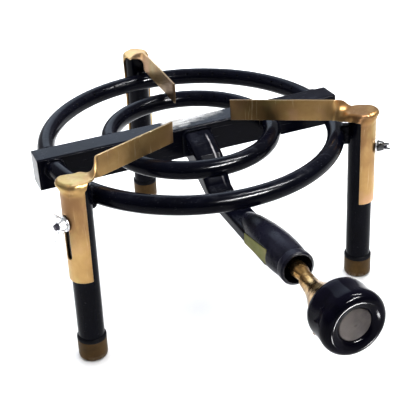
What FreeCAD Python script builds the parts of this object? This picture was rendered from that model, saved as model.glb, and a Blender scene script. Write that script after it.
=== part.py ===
import FreeCAD, Part
import os
import math

V = FreeCAD.Vector
os.makedirs("parts", exist_ok=True)

# ---------------------------------------------------------------- dimensions
# Frame: +X along the gas manifold, +Y towards the rear leg, +Z up.
# The origin is the middle of the footprint box on the floor; the burner axis
# stands BURNER_X, BURNER_Y away from it.
BURNER_X = -2.25
BURNER_Y = 57.0

# burner rings (round tube bent to a circle)
RING_Z = 159.0            # height of the ring centre plane
OUTER_R = 141.0           # outer ring, centreline radius
INNER_R = 79.4            # inner ring, centreline radius
RING_TUBE_R = 8.6         # outside radius of the ring tube
RING_TUBE_RI = 6.4        # inside radius of the ring tube
PORT_R = 1.0              # burner port radius
OUTER_PORTS = 60
INNER_PORTS = 34

# manifold (rectangular tube through the burner axis)
MAN_W = 25.0              # width, along Y
MAN_Z0 = 138.5
MAN_Z1 = 170.0
MAN_X0 = -156.0
MAN_X1 = 155.5
MAN_WALL = 2.0
MAN_CORNER = 2.2
END_CAP_T = 2.0

# legs
LEG_R = 12.2              # outside radius
LEG_RI = 10.2             # inside radius
LEG_TOP = 182.0
LEG_AXIS_R = 164.6        # distance from the burner axis, at ring height
SPLAY = 1.55              # degrees, outwards going down
LEG_AZ = {"left": 211.7, "right": 330.5, "rear": 89.1}
SWING = {"left": -13.0, "right": -7.6, "rear": -4.3}   # turn of sleeve, slot and bolt about the leg axis
ARM_TURN = 5.0            # turn of roof, neck and arm relative to the sleeve
FOOT_R = 13.6
FOOT_H = 20.0
COLLAR_R = 13.7
COLLAR_H = 3.6

# pot supports: half-round sleeve, roof, twisted neck and arm, one bent sheet
SHEET = 1.8
SLEEVE_GAP = 0.3
SLEEVE_Z0 = 88.0
ROOF_GAP = 0.05
ARM_W = 21.0              # width of the strip
ARM_MID_Z = 184.0         # middle of the upright arm
ARM_OFF = {"left": 4.2, "right": 0.8, "rear": 0.8}   # sideways place of the upright arm
ARM_TIP = {"left": 119.5, "right": 125.0, "rear": 117.0}   # tip, from the leg axis
NECK_A = 11.5             # where the twist starts, from the leg axis
NECK_B = 26.0             # where the twist ends
SLOT_Z0 = 110.5
SLOT_Z1 = 155.0
SLOT_W = 7.2

# clamp bolt, washer and wing nut
BOLT_Z = 147.0
BOLT_R = 3.0
BOLT_TIP = 25.2
WASHER_X = 14.6
WASHER_T = 1.2
NUT_X = 15.85
NUT_H = 6.5
NUT_TURN = {"left": 14.0, "right": 52.0, "rear": 30.0}

# feed duct
DUCT_X0 = -14.0
DUCT_X1 = 10.5
DUCT_Z0 = 119.3
DUCT_Z1 = 131.5
DUCT_Y_BEND = -78.0
DUCT_Y_END = -186.0
DUCT_WALL = 2.0
RISER_TOP_Z0 = 140.0
RISER_TOP_Z1 = 166.0
RISER_TOP_X1 = 15.4       # right side at the manifold
RISER_CORNER = 5.0        # corner radius at the manifold
DUCT_CORNER = 3.5
PLATE_T = 0.6

# mixer, valve and knob share one axis, rising towards the front
AXIS_X = 0.0
AXIS_Y = -219.0           # mouth plane
AXIS_Z = 132.7
AXIS_TILT = 3.2           # degrees
MOUTH_R = 15.0

# knob
KNOB_R = 26.8
KNOB_S0 = 58.5              # back edge
KNOB_S1 = 85.5              # seat rim around the disc
KNOB_SF = 88.5              # crest of the rounded front
DISC_R = 13.6


# ------------------------------------------------------------------- helpers
def box(x0, x1, y0, y1, z0, z1):
    return Part.makeBox(x1 - x0, y1 - y0, z1 - z0, V(x0, y0, z0))


def cyl(r, h, p, d):
    return Part.makeCylinder(r, h, p, d)


def rounded_bar_x(x0, x1, y0, y1, z0, z1, r):
    """Rectangular bar along X with rounded long edges."""
    b = box(x0, x1, y0, y1, z0, z1)
    es = [e for e in b.Edges
          if abs(e.Vertexes[0].Point.x - e.Vertexes[-1].Point.x) > (x1 - x0) * 0.9]
    return b.makeFillet(r, es)


def rounded_bar_y(x0, x1, y0, y1, z0, z1, r):
    b = box(x0, x1, y0, y1, z0, z1)
    es = [e for e in b.Edges
          if abs(e.Vertexes[0].Point.y - e.Vertexes[-1].Point.y) > (y1 - y0) * 0.9]
    return b.makeFillet(r, es)


def revolve(profile):
    """Solid of revolution about the local Z axis from (radius, z) points."""
    pts = [V(r, 0, z) for r, z in profile]
    w = Part.makePolygon(pts + [pts[0]])
    return Part.Face(w).revolve(V(0, 0, 0), V(0, 0, 1), 360)


def smooth_revolve(outer, closing):
    """As revolve, with a smooth spline through the points of outer."""
    pts = [V(r, 0, z) for r, z in outer]
    c = Part.BSplineCurve()
    c.interpolate(pts)
    edges = [c.toShape()]
    ring = [pts[-1]] + [V(r, 0, z) for r, z in closing] + [pts[0]]
    for a, b in zip(ring[:-1], ring[1:]):
        edges.append(Part.makeLine(a, b))
    return Part.Face(Part.Wire(edges)).revolve(V(0, 0, 0), V(0, 0, 1), 360)


def leg_place(name):
    """Local leg frame to burner frame: local +Z up the leg, local +X outwards."""
    a = math.radians(LEG_AZ[name])
    s = math.radians(SPLAY)
    base = LEG_AXIS_R + RING_Z * math.tan(s)
    r = FreeCAD.Rotation(V(0, 0, 1), LEG_AZ[name])
    r = r.multiply(FreeCAD.Rotation(V(0, 1, 0), -SPLAY))
    r = r.multiply(FreeCAD.Rotation(V(0, 0, 1), SWING[name]))
    return FreeCAD.Placement(V(base * math.cos(a), base * math.sin(a), 0), r)


def axis_place():
    """Local frame of mixer, valve and knob: local +Z runs forward along the axis."""
    r = FreeCAD.Rotation(V(1, 0, 0), 90.0 - AXIS_TILT)
    return FreeCAD.Placement(V(AXIS_X, AXIS_Y, AXIS_Z), r)


def placed(shape, pl):
    s = shape.copy()
    s.Placement = pl.multiply(s.Placement)
    return s


NODES = []


def save(name, shape):
    shape = shape.copy()
    shape.translate(V(BURNER_X, BURNER_Y, 0))
    shape.exportStep("parts/%s.step" % name)
    NODES.append((name, shape))
    print("%-22s solids %d valid %s volume %.0f" % (name, len(shape.Solids), shape.isValid(), shape.Volume))


# ------------------------------------------------------------------ manifold
man_out = rounded_bar_x(MAN_X0 + END_CAP_T, MAN_X1 - END_CAP_T, -MAN_W / 2, MAN_W / 2, MAN_Z0, MAN_Z1, MAN_CORNER)
man_in = box(MAN_X0 - 1, MAN_X1 + 1, -MAN_W / 2 + MAN_WALL, MAN_W / 2 - MAN_WALL, MAN_Z0 + MAN_WALL, MAN_Z1 - MAN_WALL)
manifold = man_out.cut(man_in)
man_shell = rounded_bar_x(MAN_X0, MAN_X1, -MAN_W / 2, MAN_W / 2, MAN_Z0, MAN_Z1, MAN_CORNER)

# gas openings into the rings
for R in (OUTER_R, INNER_R):
    xr = math.sqrt(R * R - (MAN_W / 2) ** 2)
    for sx in (-1, 1):
        manifold = manifold.cut(cyl(RING_TUBE_RI - 0.9, MAN_W + 4, V(sx * xr, -MAN_W / 2 - 2, RING_Z), V(0, 1, 0)))
# gas opening from the riser
manifold = manifold.cut(box(-8.5, 8.5, -MAN_W / 2 - 2, -MAN_W / 2 + MAN_WALL + 1, 147.5, 161.5))

caps = []
for x0, x1 in ((MAN_X0, MAN_X0 + END_CAP_T), (MAN_X1 - END_CAP_T, MAN_X1)):
    caps.append(rounded_bar_x(x0, x1, -MAN_W / 2, MAN_W / 2, MAN_Z0, MAN_Z1, MAN_CORNER))

# --------------------------------------------------------------------- rings
def ring_half(R, side, ports):
    t = Part.makeTorus(R, RING_TUBE_R, V(0, 0, RING_Z), V(0, 0, 1))
    b = Part.makeTorus(R, RING_TUBE_RI, V(0, 0, RING_Z), V(0, 0, 1))
    y0, y1 = (MAN_W / 2, R + 30) if side > 0 else (-R - 30, -MAN_W / 2)
    half = box(-R - 30, R + 30, y0, y1, RING_Z - 20, RING_Z + 20)
    h = t.common(half).cut(b)
    drills = []
    el = math.radians(40.0)
    for k in range(ports):
        a = 2 * math.pi * (k + 0.5) / ports
        if side * math.sin(a) * R < MAN_W / 2 + 9:
            continue
        # each port leans inwards and upwards out of the tube wall
        d = V(-math.cos(a) * math.cos(el), -math.sin(a) * math.cos(el), math.sin(el))
        c = V(R * math.cos(a), R * math.sin(a), RING_Z)
        drills.append(cyl(PORT_R, RING_TUBE_R + 1.0 - 4.0, c + d * 4.0, d))
    return h.cut(Part.Compound(drills))


outer_front = ring_half(OUTER_R, -1, OUTER_PORTS)
outer_rear = ring_half(OUTER_R, 1, OUTER_PORTS)
inner_front = ring_half(INNER_R, -1, INNER_PORTS)
inner_rear = ring_half(INNER_R, 1, INNER_PORTS)

save("manifold_tube", manifold)
save("manifold_end_caps", Part.Compound(caps))
save("outer_ring_front", outer_front)
save("outer_ring_rear", outer_rear)
save("inner_ring_front", inner_front)
save("inner_ring_rear", inner_rear)

# ---------------------------------------------------------------------- legs
floor_cut = box(-400, 400, -400, 400, -60, 0)
outer_torus = Part.makeTorus(OUTER_R, RING_TUBE_R, V(0, 0, RING_Z), V(0, 0, 1))

leg_local = cyl(LEG_R, LEG_TOP - 3.0, V(0, 0, 3.0), V(0, 0, 1)).cut(cyl(LEG_RI, LEG_TOP, V(0, 0, 0), V(0, 0, 1)))
leg_local = leg_local.cut(cyl(BOLT_R + 0.2, 8.0, V(LEG_RI - 4.0, 0, BOLT_Z), V(1, 0, 0)))

foot_local = revolve([(0, -0.8), (FOOT_R - 3.2, -0.8), (FOOT_R - 1.5, -0.3), (FOOT_R - 0.4, 0.9), (FOOT_R, 2.8),
                      (FOOT_R, FOOT_H - 0.6), (FOOT_R - 0.6, FOOT_H), (LEG_R + 0.03, FOOT_H), (LEG_R + 0.03, 2.95), (0, 2.95)])
collar_local = revolve([(LEG_R + 0.03, FOOT_H + 0.05), (COLLAR_R, FOOT_H + 0.05), (COLLAR_R, FOOT_H + COLLAR_H - 1.6),
                        (COLLAR_R - 0.5, FOOT_H + COLLAR_H - 0.5), (LEG_R + 0.6, FOOT_H + COLLAR_H), (LEG_R + 0.03, FOOT_H + COLLAR_H)])

# weld between leg and outer ring: an upright bead that fills the gap
weld_r = LEG_AXIS_R - LEG_R - 1.0
welds = []

# clamp bolt: hexagon head inside the leg, shank out through wall, slot, washer and nut
head = Part.Face(Part.makePolygon([V(LEG_RI - 6.0, 5.6 * math.cos(math.radians(60 * k)), BOLT_Z + 5.6 * math.sin(math.radians(60 * k))) for k in range(7)])).extrude(V(4.0, 0, 0))
shank = cyl(BOLT_R, BOLT_TIP - 0.8 - (LEG_RI - 2.0), V(LEG_RI - 2.0, 0, BOLT_Z), V(1, 0, 0))
tip = Part.makeCone(BOLT_R, BOLT_R - 0.7, 0.8, V(BOLT_TIP - 0.8, 0, BOLT_Z), V(1, 0, 0))
bolt_local = head.fuse(shank).fuse(tip).removeSplitter()
washer_local = cyl(7.2, WASHER_T, V(WASHER_X, 0, BOLT_Z), V(1, 0, 0)).cut(cyl(BOLT_R + 0.15, WASHER_T + 2, V(WASHER_X - 1, 0, BOLT_Z), V(1, 0, 0)))

# wing nut, built about the bolt axis: u sideways, v outwards
hub = Part.makeCone(5.6, 4.3, NUT_H, V(0, 0, 0), V(0, 0, 1))
wing_pts = [V(3.0, 0, 1.2), V(7.6, 0, 2.6), V(11.2, 0, 5.4), V(13.6, 0, 9.2), V(13.4, 0, 11.9), V(11.2, 0, 12.4), V(8.2, 0, 10.0), V(5.2, 0, 6.9), V(3.0, 0, 6.6)]
wc = Part.BSplineCurve()
wc.interpolate(wing_pts[:-1])
wing_wire = Part.Wire([wc.toShape(), Part.makeLine(wing_pts[-2], wing_pts[-1]), Part.makeLine(wing_pts[-1], wing_pts[0])])
wing = Part.Face(wing_wire).extrude(V(0, 2.2, 0))
wing.translate(V(0, -1.1, 0))
wing_b = wing.copy()
wing_b.rotate(V(0, 0, 0), V(0, 0, 1), 180)
nut_raw = hub.fuse([wing, wing_b]).cut(cyl(BOLT_R + 0.05, 30, V(0, 0, -5), V(0, 0, 1)))


def nut_local(turn):
    n = nut_raw.copy()
    n.rotate(V(0, 0, 0), V(0, 0, 1), turn)
    n.rotate(V(0, 0, 0), V(0, 1, 0), 90)
    n.translate(V(NUT_X, 0, BOLT_Z))
    return n


# ------------------------------------------------- pot support, local frame
def pot_support_local(name):
    ri = LEG_R + SLEEVE_GAP
    ro = ri + SHEET
    z_roof = LEG_TOP + ROOF_GAP
    z_top = z_roof + SHEET
    sleeve = cyl(ro, z_top - SLEEVE_Z0, V(0, 0, SLEEVE_Z0), V(0, 0, 1)).cut(cyl(ri, z_roof - SLEEVE_Z0, V(0, 0, SLEEVE_Z0), V(0, 0, 1)))
    # keep the outward half, edges at 86 degrees each side
    keep = box(1.0, ro + 1, -ro - 1, ro + 1, SLEEVE_Z0 - 1, z_top + 1)
    sleeve = sleeve.common(keep)
    # slot for the clamp bolt
    slot = cyl(SLOT_W / 2, 12, V(ri - 6, 0, SLOT_Z0 + SLOT_W / 2), V(1, 0, 0))
    slot = slot.fuse(cyl(SLOT_W / 2, 12, V(ri - 6, 0, SLOT_Z1 - SLOT_W / 2), V(1, 0, 0)))
    slot = slot.fuse(box(ri - 6, ri + 6, -SLOT_W / 2, SLOT_W / 2, SLOT_Z0 + SLOT_W / 2, SLOT_Z1 - SLOT_W / 2))
    sleeve = sleeve.cut(slot)
    # roof from the sleeve to the start of the twist
    xs = 3.0
    ys = math.sqrt(ro * ro - xs * xs)
    pts = [V(xs, -ys, 0), V(xs, ys, 0), V(0, ro, 0), V(-4.0, ro - 1.4, 0), V(-NECK_A, ARM_W / 2, 0),
           V(-NECK_A, -ARM_W / 2, 0), V(-4.0, -ro + 1.4, 0), V(0, -ro, 0)]
    roof = Part.Face(Part.makePolygon(pts + [pts[0]])).extrude(V(0, 0, SHEET))
    roof.translate(V(0, 0, z_roof))
    # twisted neck: sections turn a quarter while they move over to the arm's place
    zc0 = z_roof + SHEET / 2
    wires = []
    n = 9
    for i in range(n + 1):
        t = i / float(n)
        e = t * t * (3 - 2 * t)
        x = -(NECK_A + (NECK_B - NECK_A) * t)
        ang = math.radians(90.0 * e)
        yc = -ARM_OFF[name] * e
        zc = zc0 + (ARM_MID_Z - zc0) * e
        # width direction turns from +Y' up to +Z'
        wv = V(0, math.cos(ang), math.sin(ang))
        tv = V(0, -math.sin(ang), math.cos(ang))
        c = V(x, yc, zc)
        h = ARM_W / 2
        q = SHEET / 2
        p = [c + wv * h + tv * q, c - wv * h + tv * q, c - wv * h - tv * q, c + wv * h - tv * q]
        wires.append(Part.makePolygon(p + [p[0]]))
    neck = Part.makeLoft(wires, True, False)
    arm = box(-ARM_TIP[name], -NECK_B, -ARM_OFF[name] - SHEET / 2, -ARM_OFF[name] + SHEET / 2, ARM_MID_Z - ARM_W / 2, ARM_MID_Z + ARM_W / 2)
    for part in (roof, neck, arm):
        part.rotate(V(0, 0, 0), V(0, 0, 1), ARM_TURN)
    b = sleeve.fuse([roof, neck, arm])
    try:
        b = b.removeSplitter()
    except Exception:
        pass
    return b



bolts, washers, feet, collars = [], [], [], []
for name in ("left", "right", "rear"):
    pl = leg_place(name)
    leg = placed(leg_local, pl)
    save("leg_" + name, leg)
    feet.append(placed(foot_local, pl).cut(floor_cut))
    collars.append(placed(collar_local, pl))
    bolts.append(placed(bolt_local, pl))
    washers.append(placed(washer_local, pl))
    a = math.radians(LEG_AZ[name])
    leg_solid = placed(cyl(LEG_R, LEG_TOP + 20, V(0, 0, -10), V(0, 0, 1)), pl)
    bead = Part.makeBox(9.0, 8.5, 20.0, V(LEG_AXIS_R - LEG_R - 7.5, -4.25, RING_Z - 10.0))
    bead = bead.makeFillet(2.0, bead.Edges)
    bead.rotate(V(0, 0, 0), V(0, 0, 1), LEG_AZ[name])
    bead = bead.cut(outer_torus).cut(leg_solid)
    bead = max(bead.Solids, key=lambda s: s.Volume)
    welds.append(bead)
    save("pot_support_" + name, placed(pot_support_local(name), pl))
    save("wing_nut_" + name, placed(nut_local(NUT_TURN[name]), pl))

save("foot_caps", Part.Compound(feet))
save("foot_collars", Part.Compound(collars))
save("clamp_bolts", Part.Compound(bolts))
save("clamp_washers", Part.Compound(washers))
save("leg_welds", Part.Compound(welds))

# ----------------------------------------------------------------- feed duct
# riser: sloping duct from the manifold's front face down to the level duct
yf = -MAN_W / 2


def rounded_section(y, x0, x1, z0, z1, r):
    """Closed rounded rectangle in the plane at y."""
    k = r * (1.0 - math.sqrt(0.5))
    c = [(x1 - r, z0, x1 - k, z0 + k, x1, z0 + r), (x1, z1 - r, x1 - k, z1 - k, x1 - r, z1),
         (x0 + r, z1, x0 + k, z1 - k, x0, z1 - r), (x0, z0 + r, x0 + k, z0 + k, x0 + r, z0)]
    es = []
    for i, q in enumerate(c):
        es.append(Part.Arc(V(q[0], y, q[1]), V(q[2], y, q[3]), V(q[4], y, q[5])).toShape())
        n = c[(i + 1) % 4]
        es.append(Part.makeLine(V(q[4], y, q[5]), V(n[0], y, n[1])))
    return Part.Wire(es)


# stations of the riser: y, left x, right x, low z, high z, corner radius
RISER = [(yf, -12.5, RISER_TOP_X1, RISER_TOP_Z0, RISER_TOP_Z1, 5.0),
         (-30.0, -12.7, 15.0, 134.2, 161.6, 5.0),
         (-45.0, -13.0, 14.2, 127.6, 154.4, 5.0),
         (-58.0, -13.4, 12.6, 123.2, 143.6, 4.6),
         (-69.0, -13.8, 11.0, 120.4, 134.8, 4.0),
         (DUCT_Y_BEND, DUCT_X0, DUCT_X1, DUCT_Z0, DUCT_Z1, DUCT_CORNER)]


def riser_solid(inset, y_start, y_end):
    """Sloping, tapering duct between the manifold face and the level duct."""
    ws = []
    for i, (y, x0, x1, z0, z1, r) in enumerate(RISER):
        y = y + (y_start if i == 0 else (y_end if i == len(RISER) - 1 else 0.0))
        ws.append(rounded_section(y, x0 + inset, x1 - inset, z0 + inset, z1 - inset, max(r - inset, 0.6)))
    return Part.makeLoft(ws, True, True)


riser = riser_solid(0, 0, 0)
riser = riser.cut(riser_solid(DUCT_WALL, 0.01, -0.01))
riser = riser.cut(man_shell)

duct_out = rounded_bar_y(DUCT_X0, DUCT_X1, DUCT_Y_END, DUCT_Y_BEND, DUCT_Z0, DUCT_Z1, DUCT_CORNER)
duct = duct_out.cut(box(DUCT_X0 + DUCT_WALL, DUCT_X1 - DUCT_WALL, DUCT_Y_END - 1, DUCT_Y_BEND + 1, DUCT_Z0 + DUCT_WALL, DUCT_Z1 - DUCT_WALL))

# --------------------------------------------------------------------- mixer
apl = axis_place()
mixer_out = smooth_revolve([(8.0, -92.0), (10.8, -82.0), (13.6, -66.0), (15.5, -48.0), (16.1, -30.0), (15.3, -16.0), (14.3, -8.0)],
                           [(0.0, -8.0), (0.0, -92.0)])
rim = revolve([(0, -8.0), (14.3, -8.0), (14.9, -6.6), (MOUTH_R, -5.2), (MOUTH_R, -0.6), (MOUTH_R - 1.2, 0.8), (0, 0.8)])
bore = revolve([(0, 1.8), (12.6, 1.8), (12.6, -1.0), (12.2, -7.0), (11.6, -18.0), (11.4, -30.0), (11.0, -46.0), (9.4, -64.0), (7.0, -80.0), (5.0, -86.0), (0, -88.0)])
mixer = mixer_out.fuse(rim).removeSplitter()
mixer = placed(mixer, apl)
bore_p = placed(bore, apl)
mixer = mixer.cut(duct_out)
mixer = mixer.cut(bore_p)
mixer = mixer.cut(box(DUCT_X0 - 12.0, DUCT_X0, -193.0, -120.0, 100.0, 160.0))
mixer = max(mixer.Solids, key=lambda s: s.Volume)
duct = duct.cut(bore_p)
duct = max(duct.Solids, key=lambda s: s.Volume)
save("feed_riser", riser)
save("feed_duct", duct)
save("mixer_casting", mixer)

pp = [V(DUCT_X0 - PLATE_T, -150.5, 121.4), V(DUCT_X0 - PLATE_T, -192.0, 124.6), V(DUCT_X0 - PLATE_T, -192.0, 138.6), V(DUCT_X0 - PLATE_T, -150.5, 131.2)]
plate = Part.Face(Part.makePolygon(pp + [pp[0]])).extrude(V(PLATE_T, 0, 0))
save("rating_plate", plate)

# ------------------------------------------------------------ injector, valve
# all in the axis frame: z = distance forward of the mouth plane
injector = smooth_revolve([(3.2, -9.0), (5.2, -6.6), (6.7, -2.6), (7.1, 1.6), (6.7, 6.0), (5.7, 10.0), (5.1, 14.0), (5.1, 15.0)],
                          [(0.0, 15.0), (0.0, -9.0)])
jet = revolve([(0, -10), (0.6, -10), (0.6, -4.0), (2.2, -1.5), (2.2, 16), (0, 16)])
injector = injector.cut(jet)

FLARE = [(15.05, 6.6, -0.9, -0.9), (19.0, 6.7, -1.3, -1.2), (24.0, 7.1, -1.6, -1.4), (29.0, 8.0, -1.8, -1.5), (34.0, 9.5, -1.9, -1.6),
         (39.0, 11.6, -1.9, -1.6), (44.0, 13.9, -1.9, -1.6), (49.0, 16.0, -1.9, -1.5), (54.0, 17.6, -1.9, -1.5), (59.0, 18.3, -1.9, -1.5)]
body_out = Part.makeLoft([Part.Wire([Part.Circle(V(cx, cy, z), V(0, 0, 1), r).toShape()]) for z, r, cx, cy in FLARE], True, False)
body = body_out.cut(revolve([(0, 14), (2.2, 14), (2.2, 29.5), (3.6, 31.0), (3.6, 47.0), (8.1, 47.0), (8.1, 54.5), (12.6, 54.5), (14.4, 60.0), (0, 60.0)]))
spigot_s = 34.0
# the spigot points straight down from the valve chamber
sp_o = apl.multVec(V(0, 0, spigot_s))
SPIGOT_Z0 = 93.0
sp = cyl(6.0, sp_o.z - 4.0 - 108.0, V(sp_o.x, sp_o.y, 108.0), V(0, 0, 1))
barb = []
z = 108.0
for k in range(2):
    barb.append(Part.makeCone(4.2, 5.0, 4.2, V(sp_o.x, sp_o.y, z - 4.2 * (k + 1)), V(0, 0, 1)))
tailpiece = cyl(4.2, 108.0 - 8.4 - SPIGOT_Z0, V(sp_o.x, sp_o.y, SPIGOT_Z0), V(0, 0, 1))
spigot = sp.fuse(barb + [tailpiece])
body_p = placed(body, apl)
spigot = spigot.cut(placed(body_out, apl))
gas_way = cyl(2.2, sp_o.z - 85.0, V(sp_o.x, sp_o.y, 85.0), V(0, 0, 1))
spigot = spigot.cut(gas_way)
spigot = max(spigot.Solids, key=lambda s: s.Volume)
body_p = body_p.cut(gas_way)

# spindle: needle tip, thread land, stem into the knob
spindle = revolve([(0, 24.0), (0.5, 24.0), (1.9, 29.5), (1.9, 37.0), (3.53, 38.5), (3.53, 46.5), (3.0, 46.9), (3.0, 76.0), (2.6, 76.5), (0, 76.5)])
packing = revolve([(3.05, 47.05), (8.0, 47.05), (8.0, 50.5), (3.05, 50.5)])
gland = Part.Face(Part.makePolygon([V(10.4 * math.cos(math.radians(60 * k + 30)), 10.4 * math.sin(math.radians(60 * k + 30)), 54.55) for k in range(7)])).extrude(V(0, 0, 2.6))
gland = gland.fuse(cyl(8.0, 4.1, V(0, 0, 50.55), V(0, 0, 1))).cut(cyl(3.05, 20, V(0, 0, 45), V(0, 0, 1)))

# knob: smooth, slightly waisted drum with a full round front and a sunk seat for the disc
kn = smooth_revolve([(24.4, KNOB_S0), (25.4, KNOB_S0 + 2.5), (25.8, KNOB_S0 + 9.0), (26.0, KNOB_S0 + 15.0), (26.6, KNOB_S0 + 20.0), (KNOB_R, KNOB_S0 + 23.5),
                     (25.8, KNOB_S0 + 26.7), (23.8, KNOB_S0 + 29.0), (21.0, KNOB_SF), (17.8, KNOB_SF - 0.6), (15.2, KNOB_S1 + 1.3), (DISC_R + 0.3, KNOB_S1)],
                    [(DISC_R + 0.05, KNOB_S1 - 0.3), (DISC_R + 0.05, KNOB_S1 - 2.0), (0.0, KNOB_S1 - 2.0), (0.0, KNOB_S0 + 7), (6.0, KNOB_S0 + 7), (6.0, KNOB_S0 + 2.2), (9.6, KNOB_S0 + 2.2), (9.6, KNOB_S0 + 9.0), (21.3, KNOB_S0 + 9.0), (21.9, KNOB_S0)])
kn = kn.cut(cyl(3.0, 76.5 - KNOB_S0 + 1, V(0, 0, KNOB_S0 - 1), V(0, 0, 1)))
disc = revolve([(0, KNOB_S1 - 1.95), (DISC_R, KNOB_S1 - 1.95), (DISC_R, KNOB_S1 - 0.5), (DISC_R - 0.5, KNOB_S1), (0, KNOB_S1 + 0.3)])

save("injector_nozzle", placed(injector, apl))
save("valve_body", body_p)
save("gas_inlet_spigot", spigot)
save("valve_spindle", placed(spindle, apl))
save("packing_ring", placed(packing, apl))
save("gland_nut", placed(gland, apl))
save("control_knob", placed(kn, apl))
save("knob_disc", placed(disc, apl))

allbox = FreeCAD.BoundBox()
for n, s in NODES:
    allbox.add(s.BoundBox)
print("box X %.2f %.2f Y %.2f %.2f Z %.2f %.2f  nodes %d" % (allbox.XMin, allbox.XMax, allbox.YMin, allbox.YMax, allbox.ZMin, allbox.ZMax, len(NODES)))
for name in ("left", "right", "rear"):
    pl = leg_place(name)
    o = pl.multVec(V(NUT_X, 0, BOLT_Z)) + V(BURNER_X, BURNER_Y, 0)
    ax = pl.Rotation.multVec(V(1, 0, 0))
    up = pl.Rotation.multVec(V(0, 0, 1))
    print(name, "nut", [round(v / 1000, 6) for v in o], "out", [round(v, 6) for v in ax], "up", [round(v, 6) for v in up])
o = apl.multVec(V(0, 0, KNOB_S0)) + V(BURNER_X, BURNER_Y, 0)
ax = apl.Rotation.multVec(V(0, 0, 1))
print("knob", [round(v / 1000, 6) for v in o], [round(v, 6) for v in ax])
print("spigot", round((sp_o.x + BURNER_X) / 1000, 6), round((sp_o.y + BURNER_Y) / 1000, 6), SPIGOT_Z0 / 1000)
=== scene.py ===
import math
import random

import bmesh
import bpy
from mathutils import Matrix, Vector, noise


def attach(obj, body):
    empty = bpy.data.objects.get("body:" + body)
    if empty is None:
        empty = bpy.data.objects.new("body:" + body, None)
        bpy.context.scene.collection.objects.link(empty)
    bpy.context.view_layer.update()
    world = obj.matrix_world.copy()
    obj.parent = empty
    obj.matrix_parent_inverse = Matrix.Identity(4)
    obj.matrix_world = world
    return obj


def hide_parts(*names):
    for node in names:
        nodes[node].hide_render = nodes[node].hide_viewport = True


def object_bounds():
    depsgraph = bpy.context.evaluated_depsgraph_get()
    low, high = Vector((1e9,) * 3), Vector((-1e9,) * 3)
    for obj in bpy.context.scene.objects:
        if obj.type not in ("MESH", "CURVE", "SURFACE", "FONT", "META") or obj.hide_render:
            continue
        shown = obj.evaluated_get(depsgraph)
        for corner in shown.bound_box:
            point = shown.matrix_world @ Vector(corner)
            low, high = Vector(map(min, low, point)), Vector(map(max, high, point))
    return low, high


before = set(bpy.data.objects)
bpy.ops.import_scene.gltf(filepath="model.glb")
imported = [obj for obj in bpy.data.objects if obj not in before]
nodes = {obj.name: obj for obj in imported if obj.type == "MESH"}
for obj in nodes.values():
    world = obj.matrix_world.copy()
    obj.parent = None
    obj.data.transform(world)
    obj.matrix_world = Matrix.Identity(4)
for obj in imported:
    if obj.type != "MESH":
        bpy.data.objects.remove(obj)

cad_lo, cad_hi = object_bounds()
SC = bpy.context.scene
MM = 0.001

# ------------------------------------------------------------------ camera
BX, BY = -2.25, 57.0            # burner axis in the row frame, mm

cam_data = bpy.data.cameras.new("camera")
cam = bpy.data.objects.new("camera", cam_data)
SC.collection.objects.link(cam)
cam_data.lens = 78.72
cam_data.sensor_width = 36.0
cam_data.sensor_fit = "HORIZONTAL"
cam_data.clip_start = 0.02
cam_data.clip_end = 30.0
c_right = Vector((0.91893, -0.3923, -0.04073)).normalized()
c_up = Vector((0.23187, 0.45383, 0.86044))
c_up = (c_up - c_right * c_up.dot(c_right)).normalized()
c_back = c_right.cross(c_up)
cam_pos = Vector(((-281.096 + BX) * MM, (-720.891 + BY) * MM, 536.856 * MM))
cam.matrix_world = Matrix(((c_right.x, c_up.x, c_back.x, cam_pos.x), (c_right.y, c_up.y, c_back.y, cam_pos.y),
                           (c_right.z, c_up.z, c_back.z, cam_pos.z), (0, 0, 0, 1)))
SC.camera = cam

SC.view_settings.view_transform = "Standard"
SC.view_settings.look = "None"
SC.view_settings.exposure = 0.0
SC.view_settings.gamma = 0.85

# ------------------------------------------------------------- world, lights
world = bpy.data.worlds.new("studio")
SC.world = world
world.use_nodes = True
wt = world.node_tree
wt.nodes.clear()
w_out = wt.nodes.new("ShaderNodeOutputWorld")
w_bg = wt.nodes.new("ShaderNodeBackground")
w_co = wt.nodes.new("ShaderNodeTexCoord")
w_dot = wt.nodes.new("ShaderNodeVectorMath")
w_dot.operation = "DOT_PRODUCT"
w_dot.inputs[1].default_value = Vector((0.30, 0.72, 0.62)).normalized()
w_ramp = wt.nodes.new("ShaderNodeValToRGB")
w_map = wt.nodes.new("ShaderNodeMapRange")
w_map.inputs["From Min"].default_value = -1.0
w_map.inputs["From Max"].default_value = 1.0
wt.links.new(w_co.outputs["Generated"], w_dot.inputs[0])
wt.links.new(w_dot.outputs["Value"], w_map.inputs["Value"])
wt.links.new(w_map.outputs["Result"], w_ramp.inputs["Fac"])
e = w_ramp.color_ramp.elements
e[0].position = 0.12
e[0].color = (0.10, 0.105, 0.12, 1)
e[1].position = 0.86
e[1].color = (1.0, 1.02, 1.06, 1)
m = e.new(0.5)
m.color = (0.42, 0.43, 0.46, 1)
w_bg.inputs["Strength"].default_value = 0.62
wt.links.new(w_ramp.outputs["Color"], w_bg.inputs["Color"])
wt.links.new(w_bg.outputs["Background"], w_out.inputs["Surface"])

CENTER = Vector((0.0, 0.0, 0.12))


def direction(az, el):
    a, b = math.radians(az), math.radians(el)
    return Vector((math.cos(a) * math.cos(b), math.sin(a) * math.cos(b), math.sin(b)))


def area(name, az, el, dist, sx, sy, power, color=(1, 1, 1), target=CENTER):
    d = bpy.data.lights.new(name, "AREA")
    d.shape = "RECTANGLE"
    d.size, d.size_y = sx, sy
    d.energy = power
    d.color = color
    o = bpy.data.objects.new(name, d)
    SC.collection.objects.link(o)
    o.location = target + direction(az, el) * dist
    o.rotation_mode = "QUATERNION"
    o.rotation_quaternion = (target - o.location).to_track_quat("-Z", "Y")
    return o


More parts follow.
